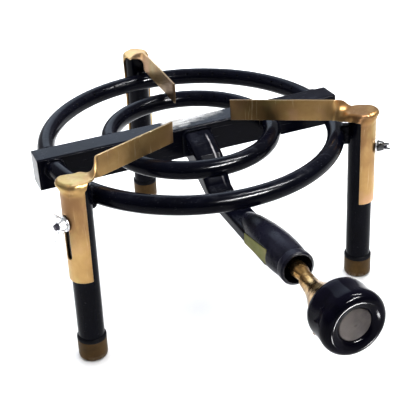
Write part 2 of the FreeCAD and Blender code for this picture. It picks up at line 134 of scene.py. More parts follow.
# the black gloss parts that the small highlight lamps shine on
gloss_parts = bpy.data.collections.new("gloss_parts")
for nname, ob in sorted(nodes.items()):
    if "ring_" in nname and "packing" not in nname or nname in ("control_knob", "knob_disc", "mixer_casting"):
        gloss_parts.objects.link(ob)


def sparkle(name, az, el, dist, sx, sy, power, target=CENTER):
    """A lamp that only gives highlights, for the crisp streaks on gloss paint."""
    o = area(name, az, el, dist, sx, sy, power, (1, 1, 1), target)
    o.visible_diffuse = False
    o.visible_camera = False
    o.light_linking.receiver_collection = gloss_parts
    return o


area("key_front", -66, 41, 1.7, 1.2, 0.5, 7)
sparkle("strip_front", -71, 41, 1.7, 0.9, 0.055, 120)
sparkle("strip_right", -22, 60, 1.6, 0.06, 0.8, 30)
sparkle("spot_front", -66, 47, 1.5, 0.06, 0.06, 6)
# two small lamps low in front of the knob
KNOB_A = Vector(((-4.6 + BX) * MM, (-306.2 + BY) * MM, 156.9 * MM))
KNOB_B = Vector(((17.9 + BX) * MM, (-306.7 + BY) * MM, 142.4 * MM))
sparkle("spot_low_a", -46.6, -45.5, 0.20, 0.022, 0.022, 0.34, KNOB_A)
sparkle("spot_low_b", -84.8, -39.6, 0.20, 0.022, 0.022, 0.30, KNOB_B)
for gname, gaz, gel, gx, gy, gpow in (("glint_necks", -22, 60, 0.05, 0.7, 32), ("glint_front", -66, 41, 0.7, 0.022, 30)):
    glint = area(gname, gaz, gel, 1.65, gx, gy, gpow)
    glint.visible_diffuse = False
soft_top = area("soft_top", 60, 74, 1.7, 1.5, 1.5, 68)
soft_top.visible_glossy = False
area("soft_rear", 80, 31, 1.9, 1.15, 1.2, 11, (0.72, 0.85, 1.0))
area("soft_back_left", 150, 38, 1.9, 0.9, 0.8, 2)


# ------------------------------------------------------------------ materials
def new_mat(name):
    mt = bpy.data.materials.new(name)
    mt.use_nodes = True
    nt = mt.node_tree
    for n in list(nt.nodes):
        if n.type != "OUTPUT_MATERIAL":
            nt.nodes.remove(n)
    out = [n for n in nt.nodes if n.type == "OUTPUT_MATERIAL"][0]
    bs = nt.nodes.new("ShaderNodeBsdfPrincipled")
    nt.links.new(bs.outputs["BSDF"], out.inputs["Surface"])
    return mt, nt, bs


class T:
    """Small helper for node trees."""

    def __init__(self, nt, bs):
        self.nt, self.bs = nt, bs
        self.co = nt.nodes.new("ShaderNodeTexCoord")
        self.obj = self.co.outputs["Object"]

    def link(self, a, b):
        self.nt.links.new(a, b)

    def mapping(self, scale=(1, 1, 1), rot=(0, 0, 0), loc=(0, 0, 0), src=None):
        n = self.nt.nodes.new("ShaderNodeMapping")
        n.inputs["Scale"].default_value = scale
        n.inputs["Rotation"].default_value = rot
        n.inputs["Location"].default_value = loc
        self.link(src or self.obj, n.inputs["Vector"])
        return n.outputs["Vector"]

    def noise(self, scale, detail=3.0, rough=0.55, vec=None, dist=0.0):
        n = self.nt.nodes.new("ShaderNodeTexNoise")
        n.inputs["Scale"].default_value = scale
        n.inputs["Detail"].default_value = detail
        n.inputs["Roughness"].default_value = rough
        n.inputs["Distortion"].default_value = dist
        self.link(vec or self.obj, n.inputs["Vector"])
        return n.outputs["Fac"]

    def voronoi(self, scale, vec=None, feature="F1"):
        n = self.nt.nodes.new("ShaderNodeTexVoronoi")
        n.feature = feature
        n.inputs["Scale"].default_value = scale
        self.link(vec or self.obj, n.inputs["Vector"])
        return n.outputs["Distance"]

    def ramp(self, fac, stops):
        n = self.nt.nodes.new("ShaderNodeValToRGB")
        el = n.color_ramp.elements
        while len(el) > 1:
            el.remove(el[-1])
        first = True
        for pos, col in stops:
            c = (col[0], col[1], col[2], 1.0) if hasattr(col, "__len__") else (col, col, col, 1.0)
            if first:
                el[0].position = pos
                el[0].color = c
                first = False
            else:
                x = el.new(pos)
                x.color = c
        self.link(fac, n.inputs["Fac"])
        return n.outputs["Color"]

    def rng(self, v, a, b, c, d, smooth=False):
        n = self.nt.nodes.new("ShaderNodeMapRange")
        if smooth:
            n.interpolation_type = "SMOOTHSTEP"
        n.inputs["From Min"].default_value = a
        n.inputs["From Max"].default_value = b
        n.inputs["To Min"].default_value = c
        n.inputs["To Max"].default_value = d
        self.link(v, n.inputs["Value"])
        return n.outputs["Result"]

    def math(self, op, a, b=None, clamp=False):
        n = self.nt.nodes.new("ShaderNodeMath")
        n.operation = op
        n.use_clamp = clamp
        for i, v in enumerate((a, b)):
            if v is None:
                continue
            if isinstance(v, (int, float)):
                n.inputs[i].default_value = v
            else:
                self.link(v, n.inputs[i])
        return n.outputs["Value"]

    def mix(self, fac, a, b, blend="MIX"):
        n = self.nt.nodes.new("ShaderNodeMix")
        n.data_type = "RGBA"
        n.blend_type = blend
        for sock, v in ((n.inputs[0], fac), (n.inputs[6], a), (n.inputs[7], b)):
            if isinstance(v, (int, float)):
                sock.default_value = v
            elif hasattr(v, "__len__"):
                sock.default_value = (v[0], v[1], v[2], 1.0)
            else:
                self.link(v, sock)
        return n.outputs[2]

    def bump(self, height, strength, dist, normal=None):
        n = self.nt.nodes.new("ShaderNodeBump")
        n.inputs["Strength"].default_value = strength
        n.inputs["Distance"].default_value = dist
        self.link(height, n.inputs["Height"])
        if normal is not None:
            self.link(normal, n.inputs["Normal"])
        return n.outputs["Normal"]

    def bevel(self, r, samples=6):
        n = self.nt.nodes.new("ShaderNodeBevel")
        n.samples = samples
        n.inputs["Radius"].default_value = r
        return n.outputs["Normal"]

    def edge(self, bev, low=0.02, high=0.25):
        """0 on flat ground, 1 at a rounded edge."""
        g = self.nt.nodes.new("ShaderNodeNewGeometry")
        d = self.nt.nodes.new("ShaderNodeVectorMath")
        d.operation = "DOT_PRODUCT"
        self.link(bev, d.inputs[0])
        self.link(g.outputs["Normal"], d.inputs[1])
        inv = self.math("SUBTRACT", 1.0, d.outputs["Value"])
        return self.rng(inv, low, high, 0.0, 1.0, True)

    def up(self):
        g = self.nt.nodes.new("ShaderNodeNewGeometry")
        s = self.nt.nodes.new("ShaderNodeSeparateXYZ")
        self.link(g.outputs["Normal"], s.inputs[0])
        return s.outputs["Z"]

    def xyz(self, src=None):
        s = self.nt.nodes.new("ShaderNodeSeparateXYZ")
        self.link(src or self.obj, s.inputs[0])
        return s.outputs["X"], s.outputs["Y"], s.outputs["Z"]

    def box_mask(self, lo, hi, soft=0.004):
        """1 inside a box given in metres, soft at its edges."""
        total = None
        for v, a, b in zip(self.xyz(), lo, hi):
            up = self.rng(v, a - soft, a + soft, 0, 1, True)
            dn = self.rng(v, b - soft, b + soft, 1, 0, True)
            f = self.math("MULTIPLY", up, dn)
            total = f if total is None else self.math("MULTIPLY", total, f)
        return total

    def set(self, **kw):
        for k, v in kw.items():
            sock = self.bs.inputs[k.replace("_", " ")]
            if isinstance(v, (int, float)):
                sock.default_value = v
            elif hasattr(v, "__len__"):
                sock.default_value = (v[0], v[1], v[2], 1.0)
            else:
                self.link(v, sock)


def black_enamel(name, tint=(0.0020, 0.0023, 0.0058), rough=(0.10, 0.24), peel=0.30, patch=False, bev=0.0009, rubs_and_painted_highlight=False):
    mt, nt, bs = new_mat(name)
    t = T(nt, bs)
    cloud = t.noise(26, 4, 0.6)
    fine = t.noise(420, 3, 0.6)
    col = t.ramp(cloud, [(0.30, tuple(c * 0.75 for c in tint)), (0.72, tuple(c * 1.55 for c in tint))])
    # settled dust on what faces up
    dust = t.math("MULTIPLY", t.rng(t.up(), 0.55, 1.0, 0.0, 1.0, True), t.rng(t.noise(70, 5, 0.7), 0.45, 0.80, 0.0, 1.0, True))
    col = t.mix(t.math("MULTIPLY", dust, 0.22), col, (0.060, 0.064, 0.076))
    nb = t.bevel(bev)
    edge = t.math("MULTIPLY", t.edge(nb), t.rng(t.noise(240, 4, 0.65), 0.48, 0.62, 0.0, 1.0, True))
    col = t.mix(t.math("MULTIPLY", edge, 0.55), col, (0.115, 0.110, 0.118))
    scr = t.noise(1.0, 2, 0.5, t.mapping((60, 900, 900), (0.3, 0.5, 0.9)))
    scratch = t.rng(scr, 0.66, 0.72, 0.0, 1.0, True)
    col = t.mix(t.math("MULTIPLY", scratch, 0.25), col, (0.07, 0.07, 0.08))
    rg = t.rng(t.noise(38, 5, 0.62), 0.32, 0.70, rough[0], rough[1])
    rg = t.math("ADD", rg, t.math("MULTIPLY", dust, 0.16))
    rg = t.math("ADD", rg, t.math("MULTIPLY", scratch, 0.12), True)
    if patch:
        # pale streaks over the middle of the manifold's top, paler towards the back and left, partly metallic
        streak = t.noise(1.0, 4, 0.62, t.mapping((55, 420, 420), (0, 0, 0.10)), 0.4)
        mask = t.box_mask(((-27 + BX) * MM, (-13.5 + BY) * MM, 0.1688), ((37 + BX) * MM, (13.5 + BY) * MM, 0.1720), 0.0020)
        x, y, z = t.xyz()
        # ragged towards the front edge and the right end
        lean = t.math("ADD", t.math("MULTIPLY", y, 26.0), t.math("MULTIPLY", x, -5.0))
        ragged = t.rng(t.math("ADD", t.noise(120, 5, 0.68), t.math("SUBTRACT", lean, 26.0 * (BY + 2) * MM)), 0.20, 0.50, 0.0, 1.0, True)
        pm = t.math("MULTIPLY", mask, t.math("MULTIPLY", t.rng(streak, 0.28, 0.52, 0.45, 1.0, True), ragged))
        tone = t.rng(t.math("ADD", t.math("MULTIPLY", y, 30.0), t.math("ADD", t.math("MULTIPLY", x, -9.0), t.math("MULTIPLY", streak, 0.9))), 30.0 * BY * MM + 0.16, 30.0 * BY * MM + 0.78, 0.0, 1.0, True)
        pale = t.mix(tone, (0.055, 0.052, 0.048), (0.47, 0.44, 0.41))
        col = t.mix(t.math("MULTIPLY", pm, 0.92), col, pale)
        rg = t.math("ADD", rg, t.math("MULTIPLY", pm, 0.10), True)
        t.set(Metallic=t.math("MULTIPLY", pm, 0.55))
    if rubs_and_painted_highlight:
        # painted highlight: a pale line along the riser's right shoulder, on its upward-facing side, where the rounded
        # edge catches the light
        x, y, z = t.xyz()
        run = t.math("MULTIPLY", t.math("SUBTRACT", y, (BY - 18) * MM), 0.052)
        off = t.math("ABSOLUTE", t.math("SUBTRACT", t.math("SUBTRACT", x, (BX + 7.2) * MM), run), 0.0)
        line = t.rng(t.math("ADD", off, t.math("MULTIPLY", t.noise(190, 4, 0.65), 0.0010)), 0.0009, 0.0016, 1.0, 0.0, True)
        ends = t.math("MULTIPLY", t.rng(y, (BY - 76) * MM, (BY - 50) * MM, 0.0, 1.0, True), t.rng(y, (BY - 30) * MM, (BY - 19) * MM, 1.0, 0.0, True))
        line = t.math("MULTIPLY", t.math("MULTIPLY", line, ends), t.rng(t.up(), 0.10, 0.35, 0.0, 1.0, True))
        line = t.math("MULTIPLY", line, t.rng(t.noise(75, 3, 0.6), 0.30, 0.50, 0.35, 0.95, True))
        col = t.mix(line, col, (0.33, 0.32, 0.33))
    t.set(Base_Color=col, Roughness=rg, IOR=1.17)
    h = t.math("ADD", t.math("MULTIPLY", fine, 0.5), t.noise(130, 2, 0.5))
    t.set(Normal=t.bump(h, peel, 0.00012, nb))
    return mt


def cast_black(name):
    mt, nt, bs = new_mat(name)
    t = T(nt, bs)
    sand = t.noise(620, 4, 0.7)
    lump = t.noise(90, 3, 0.6)
    col = t.ramp(lump, [(0.30, (0.0055, 0.0055, 0.0110)), (0.75, (0.0125, 0.0125, 0.0220))])
    nb = t.bevel(0.0009)
    edge = t.math("MULTIPLY", t.edge(nb), t.rng(t.noise(200, 4, 0.6), 0.45, 0.60, 0, 1, True))
    col = t.mix(t.math("MULTIPLY", edge, 0.5), col, (0.12, 0.115, 0.12))
    t.set(Base_Color=col, Roughness=t.rng(t.noise(60, 4, 0.6), 0.3, 0.7, 0.18, 0.34), IOR=1.21)
    t.set(Normal=t.bump(t.math("ADD", t.math("MULTIPLY", sand, 0.6), lump), 0.55, 0.00022, nb))
    return mt


def yellow_zinc(name):
    mt, nt, bs = new_mat(name)
    t = T(nt, bs)
    cloud = t.noise(22, 5, 0.6, None, 0.4)
    col = t.ramp(cloud, [(0.28, (0.30, 0.185, 0.082)), (0.50, (0.42, 0.275, 0.120)), (0.74, (0.56, 0.40, 0.190))])
    # faint green and rose interference of the chromate film
    green = t.rng(t.noise(31, 3, 0.5, t.mapping(loc=(3.1, 0.7, 1.9))), 0.56, 0.72, 0.0, 0.42, True)
    rose = t.rng(t.noise(27, 3, 0.5, t.mapping(loc=(9.2, 4.4, 6.1))), 0.50, 0.70, 0.0, 0.55, True)
    col = t.mix(green, col, (0.44, 0.43, 0.18))
    col = t.mix(rose, col, (0.47, 0.285, 0.20))
    # heat of the flame browns the arms towards their tips
    x, y, z = t.xyz()
    dx = t.math("SUBTRACT", x, BX * MM)
    dy = t.math("SUBTRACT", y, BY * MM)
    rad = t.math("SQRT", t.math("ADD", t.math("MULTIPLY", dx, dx), t.math("MULTIPLY", dy, dy)))
    wob = t.math("MULTIPLY", t.math("SUBTRACT", t.noise(34, 4, 0.6), 0.5), 0.05)
    heat = t.rng(t.math("ADD", rad, wob), 0.066, 0.138, 1.0, 0.0, True)
    col = t.mix(t.math("MULTIPLY", heat, 0.74), col, (0.125, 0.078, 0.030))
    # painted shade: the upper part of the sleeves darkened brown towards the top, fading out lower down
    shade = t.math("MULTIPLY", t.rng(z, 0.115, 0.150, 0.0, 1.0, True), t.rng(z, 0.172, 0.178, 1.0, 0.0, True))
    upper_sleeve_shade = t.math("MULTIPLY", shade, t.rng(t.noise(48, 4, 0.6, t.mapping((1, 1, 0.35))), 0.30, 0.60, 0.35, 0.90, True))
    upper_sleeve_shade = t.math("MULTIPLY", upper_sleeve_shade, t.rng(rad, 0.140, 0.150, 0.0, 1.0, True))
    col = t.mix(upper_sleeve_shade, col, (0.22, 0.125, 0.062))
    hood = t.math("MULTIPLY", t.rng(x, 0.105, 0.128, 0.0, 1.0, True), t.rng(z, 0.172, 0.180, 0.0, 1.0, True))
    hood = t.math("MULTIPLY", hood, t.rng(t.noise(70, 4, 0.6), 0.30, 0.60, 0.45, 1.0, True))
    col = t.mix(t.math("MULTIPLY", hood, 0.80), col, (0.21, 0.105, 0.040))
    # rolling lines of the sheet and stamped scuffs
    roll = t.noise(1.0, 3, 0.6, t.mapping((420, 420, 30)))
    col = t.mix(t.rng(roll, 0.60, 0.74, 0.0, 0.28, True), col, (0.66, 0.54, 0.36))
    nb = t.bevel(0.0005)
    edge = t.math("MULTIPLY", t.edge(nb, 0.01, 0.16), t.rng(t.noise(320, 3, 0.6), 0.35, 0.60, 0.25, 1.0, True))
    col = t.mix(t.math("MULTIPLY", edge, 0.75), col, (0.83, 0.76, 0.63))
    spots = t.rng(t.noise(190, 5, 0.72), 0.66, 0.76, 0.0, 1.0, True)
    col = t.mix(t.math("MULTIPLY", spots, 0.35), col, (0.20, 0.13, 0.07))
    rg = t.rng(t.noise(64, 5, 0.62), 0.30, 0.72, 0.30, 0.50)
    rg = t.math("ADD", rg, t.math("MULTIPLY", spots, 0.2), True)
    t.set(Base_Color=col, Metallic=0.93, Roughness=rg)
    h = t.math("ADD", t.math("MULTIPLY", roll, 0.45), t.math("MULTIPLY", t.noise(150, 4, 0.6), 1.0))
    t.set(Normal=t.bump(h, 0.45, 0.00016, nb))
    return mt


def bright_zinc(name, tone=1.0):
    mt, nt, bs = new_mat(name)
    t = T(nt, bs)
    col = t.ramp(t.noise(180, 4, 0.6), [(0.3, (0.56 * tone, 0.565 * tone, 0.57 * tone)), (0.7, (0.80 * tone, 0.81 * tone, 0.83 * tone))])
    dark = t.rng(t.noise(420, 4, 0.7), 0.60, 0.74, 0.0, 0.5, True)
    col = t.mix(dark, col, (0.16 * tone, 0.16 * tone, 0.155 * tone))
    nb = t.bevel(0.0004)
    t.set(Base_Color=col, Metallic=0.95, Roughness=t.rng(t.noise(240, 4, 0.6), 0.3, 0.7, 0.20, 0.42))
    t.set(Normal=t.bump(t.noise(520, 4, 0.65), 0.4, 0.00012, nb))
    return mt


def bolt_dark_painted_shade(name):
    mt, nt, bs = new_mat(name)
    t = T(nt, bs)
    # painted shade: the bolts are coloured near black to stand in for the shade on their ends, with brown rust spots
    col = t.ramp(t.noise(260, 4, 0.6), [(0.3, (0.030, 0.028, 0.040)), (0.7, (0.085, 0.080, 0.100))])
    rust = t.rng(t.noise(520, 4, 0.7), 0.60, 0.74, 0.0, 0.5, True)
    col = t.mix(rust, col, (0.10, 0.055, 0.030))
    nb = t.bevel(0.0003)
    t.set(Base_Color=col, Metallic=0.8, Roughness=t.rng(t.noise(300, 4, 0.6), 0.3, 0.7, 0.28, 0.5))
    t.set(Normal=t.bump(t.noise(700, 3, 0.6), 0.4, 0.00010, nb))
    return mt


def brown_polymer(name):
    mt, nt, bs = new_mat(name)
    t = T(nt, bs)
    x, y, z = t.xyz()
    col = t.ramp(t.noise(60, 5, 0.65), [(0.28, (0.060, 0.032, 0.008)), (0.55, (0.100, 0.055, 0.014)), (0.80, (0.165, 0.098, 0.034))])
    # scuffs climb from the floor edge
    low = t.rng(z, 0.0, 0.006, 1.0, 0.0, True)
    scuff = t.math("MULTIPLY", low, t.rng(t.noise(260, 5, 0.7), 0.42, 0.62, 0.0, 1.0, True))
    col = t.mix(t.math("MULTIPLY", scuff, 0.6), col, (0.42, 0.36, 0.27))
    nb = t.bevel(0.0006)
    t.set(Base_Color=col, Roughness=t.rng(t.noise(120, 4, 0.6), 0.3, 0.7, 0.34, 0.56), IOR=1.25)
    t.set(Normal=t.bump(t.math("ADD", t.noise(700, 3, 0.6), t.math("MULTIPLY", t.noise(90, 3, 0.5), 1.4)), 0.4, 0.00014, nb))
    return mt


def black_polymer(name):
    mt, nt, bs = new_mat(name)
    t = T(nt, bs)
    col = t.ramp(t.noise(140, 4, 0.6), [(0.3, (0.0035, 0.0035, 0.0055)), (0.75, (0.010, 0.0095, 0.0130))])
    t.set(Base_Color=col, Roughness=t.rng(t.noise(90, 4, 0.6), 0.3, 0.7, 0.40, 0.62), IOR=1.2)
    t.set(Normal=t.bump(t.noise(640, 3, 0.6), 0.4, 0.00012, t.bevel(0.0005)))
    return mt


def brass(name):
    mt, nt, bs = new_mat(name)
    t = T(nt, bs)
    cloud = t.noise(75, 5, 0.62)
    col = t.ramp(cloud, [(0.26, (0.13, 0.070, 0.026)), (0.50, (0.36, 0.225, 0.090)), (0.78, (0.70, 0.52, 0.28))])
    # machining rings run round the valve's axis, which is close to Y
    turn = t.noise(1.0, 2, 0.5, t.mapping((6, 2600, 6)))
    tarnish = t.rng(t.noise(130, 5, 0.7), 0.52, 0.70, 0.0, 1.0, True)
    col = t.mix(t.math("MULTIPLY", tarnish, 0.5), col, (0.17, 0.095, 0.045))
    nb = t.bevel(0.0004)
    edge = t.edge(nb, 0.02, 0.2)
    col = t.mix(t.math("MULTIPLY", edge, 0.5), col, (0.90, 0.74, 0.45))
    rg = t.math("ADD", t.rng(t.noise(95, 4, 0.6), 0.3, 0.7, 0.18, 0.34), t.math("MULTIPLY", tarnish, 0.15))
    t.set(Base_Color=col, Metallic=1.0, Roughness=rg)
    t.set(Normal=t.bump(t.math("ADD", turn, t.noise(260, 3, 0.6)), 0.35, 0.00010, nb))
    return mt


def plate_green(name):
    mt, nt, bs = new_mat(name)
    t = T(nt, bs)
    brush = t.noise(1.0, 3, 0.6, t.mapping((200, 26, 900)))
    col = t.ramp(t.noise(48, 4, 0.6), [(0.30, (0.118, 0.120, 0.026)), (0.55, (0.172, 0.172, 0.044)), (0.80, (0.235, 0.215, 0.075))])
    col = t.mix(t.rng(brush, 0.45, 0.75, 0.0, 0.35, True), col, (0.26, 0.26, 0.13))
    rubs_and_painted_highlight = t.rng(t.noise(210, 5, 0.7), 0.62, 0.74, 0.0, 0.6, True)
    col = t.mix(rubs_and_painted_highlight, col, (0.12, 0.11, 0.06))
    t.set(Base_Color=col, Metallic=0.35, Roughness=t.rng(t.noise(90, 4, 0.6), 0.3, 0.7, 0.34, 0.55), IOR=1.2)
    t.set(Normal=t.bump(t.math("ADD", brush, t.noise(160, 3, 0.6)), 0.3, 0.00010, t.bevel(0.0003)))
    return mt


def bakelite(name):
    mt, nt, bs = new_mat(name)
    t = T(nt, bs)
    cloud = t.noise(40, 4, 0.6, None, 0.8)
    col = t.ramp(cloud, [(0.30, (0.0022, 0.0020, 0.0050)), (0.74, (0.0050, 0.0042, 0.0115))])
    hair = t.rng(t.noise(1.0, 2, 0.5, t.mapping((700, 60, 700), (0.4, 0.2, 0.3))), 0.67, 0.74, 0.0, 1.0, True)
    smear = t.noise(55, 5, 0.66)
    rg = t.math("ADD", t.rng(smear, 0.34, 0.72, 0.07, 0.16), t.math("MULTIPLY", hair, 0.10))
    t.set(Base_Color=col, Roughness=rg, IOR=1.13)
    h = t.math("ADD", t.math("MULTIPLY", t.noise(330, 2, 0.5), 0.4), t.noise(85, 3, 0.5))
    t.set(Normal=t.bump(h, 0.22, 0.00012, t.bevel(0.0005)))
    return mt


def disc_grey(name):
    mt, nt, bs = new_mat(name)
    t = T(nt, bs)
    x, y, z = t.xyz()
    cloud = t.noise(120, 4, 0.6)
    # painted shade: the disc is lighter on its left and darker towards its right, as the light falls
    painted_side_shade = t.rng(x, -0.016, 0.012, 0.0, 1.0, True)
    col = t.mix(painted_side_shade, (0.135, 0.118, 0.110), (0.034, 0.027, 0.029))
    col = t.mix(t.rng(cloud, 0.35, 0.7, 0.0, 0.35), col, (0.165, 0.145, 0.128))
    speck = t.rng(t.noise(620, 4, 0.7), 0.62, 0.74, 0.0, 0.5, True)
    col = t.mix(speck, col, (0.05, 0.045, 0.045))
    t.set(Base_Color=col, Metallic=0.04, IOR=1.12, Roughness=t.rng(t.noise(150, 4, 0.6), 0.3, 0.7, 0.42, 0.60))
    t.set(Normal=t.bump(t.noise(480, 4, 0.65), 0.4, 0.00012, t.bevel(0.0004)))
    return mt


def graphite(name):
    mt, nt, bs = new_mat(name)
    t = T(nt, bs)
    braid = t.voronoi(900)
    col = t.ramp(braid, [(0.1, (0.018, 0.018, 0.018)), (0.7, (0.055, 0.055, 0.058))])
    t.set(Base_Color=col, Roughness=t.rng(t.noise(300, 3, 0.6), 0.3, 0.7, 0.5, 0.75))
    t.set(Normal=t.bump(braid, 0.5, 0.0002))
    return mt


MATS = {
    "black_enamel": black_enamel("black_enamel_paint"),
    "yellow_zinc": yellow_zinc("yellow_zinc_plate"),
    "bright_zinc": bright_zinc("bright_zinc_plate"),
    "brown_polymer": brown_polymer("brown_polymer_moulded"),
    "black_polymer": black_polymer("black_polymer_moulded"),
    "plate_green": plate_green("plate_green_satin"),
    "brass": brass("brass_turned"),
    "black_iron": cast_black("black_iron_cast"),
    "graphite_packing": graphite("graphite_braid"),
    "black_bakelite": bakelite("black_bakelite_gloss"),
    "disc_grey": disc_grey("disc_grey_satin"),
}
manifold_mat = black_enamel("black_enamel_pale_patch", patch=True)
# the riser's enamel carries a painted highlight line along its right shoulder
riser_mat = black_enamel("black_enamel_painted_highlight", rubs_and_painted_highlight=True)
dark_bolt = bolt_dark_painted_shade("bolt_painted_shade")
# painted shade: a darkened copy of the bright zinc, for the right wing nut
shaded_zinc_copy = bright_zinc("zinc_plate_painted_shade", 0.13)

for nname, ob in nodes.items():
    for sl in ob.material_slots:
        if sl.material is not None:
            key = sl.material.name.split(".")[0]
            if key in MATS:
                sl.material = MATS[key]
for sl in nodes["manifold_tube"].material_slots:
    sl.material = manifold_mat
for sl in nodes["feed_riser"].material_slots:
    sl.material = riser_mat


# ------------------------------------------------------------- mesh helpers
def make_obj(name, verts, faces, mat, body, smooth_angle=35.0):
    me = bpy.data.meshes.new(name)
    me.from_pydata([tuple(v) for v in verts], [], faces)
    me.validate()
    me.update()
    bm = bmesh.new()
    bm.from_mesh(me)
    bmesh.ops.recalc_face_normals(bm, faces=bm.faces)
    bm.to_mesh(me)
    bm.free()
    for p in me.polygons:
        p.use_smooth = True
    me.set_sharp_from_angle(angle=math.radians(smooth_angle))
    ob = bpy.data.objects.new(name, me)
    SC.collection.objects.link(ob)
    me.materials.append(mat)
    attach(ob, body)
    return ob


# leg frames, as in the CAD source (burner frame shifted to the row frame)
RING_Z = 159.0
LEG_AXIS_R = 164.6
SPLAY = 1.55
LEG_AZ = {"left": 211.7, "right": 330.5, "rear": 89.1}
SWING = {"left": -13.0, "right": -7.6, "rear": -4.3}
ARM_TURN = 5.0
ARM_OFF = {"left": 4.2, "right": 0.8, "rear": 0.8}
ARM_TIP = {"left": 119.5, "right": 125.0, "rear": 117.0}
LEG_TOP = 182.0
LEG_R = 12.2
SHEET = 1.8
BOLT_Z = 147.0
SLOT = (110.5, 155.0, 7.2)      # clamp slot: low end, high end, width
# fold of each support, formed by hand so each differs a little: overhang of the nose,
# where it sits across the sheet, its spread, crown of the hood, fall of its corners,
# drop of the edge that turns down at the neck, end of the twist
FOLD = {"left": (3.2, -0.36, 0.42, 1.5, 5.2, 5.0, 29.0), "right": (2.4, 0.12, 0.45, 1.1, 7.0, 6.5, 27.0), "rear": (1.6, 0.0, 0.60, 1.0, 5.5, 4.5, 27.0)}


def leg_matrix(name):
    a = math.radians(LEG_AZ[name])
    base = LEG_AXIS_R + RING_Z * math.tan(math.radians(SPLAY))
    rot = (Matrix.Rotation(a, 4, "Z") @ Matrix.Rotation(math.radians(-SPLAY), 4, "Y") @ Matrix.Rotation(math.radians(SWING[name]), 4, "Z"))
    return Matrix.Translation((base * math.cos(a) + BX, base * math.sin(a) + BY, 0)) @ rot


def smooth01(t):
    t = max(0.0, min(1.0, t))
    return t * t * (3 - 2 * t)


def lerp(a, b, t):
    return a + (b - a) * t


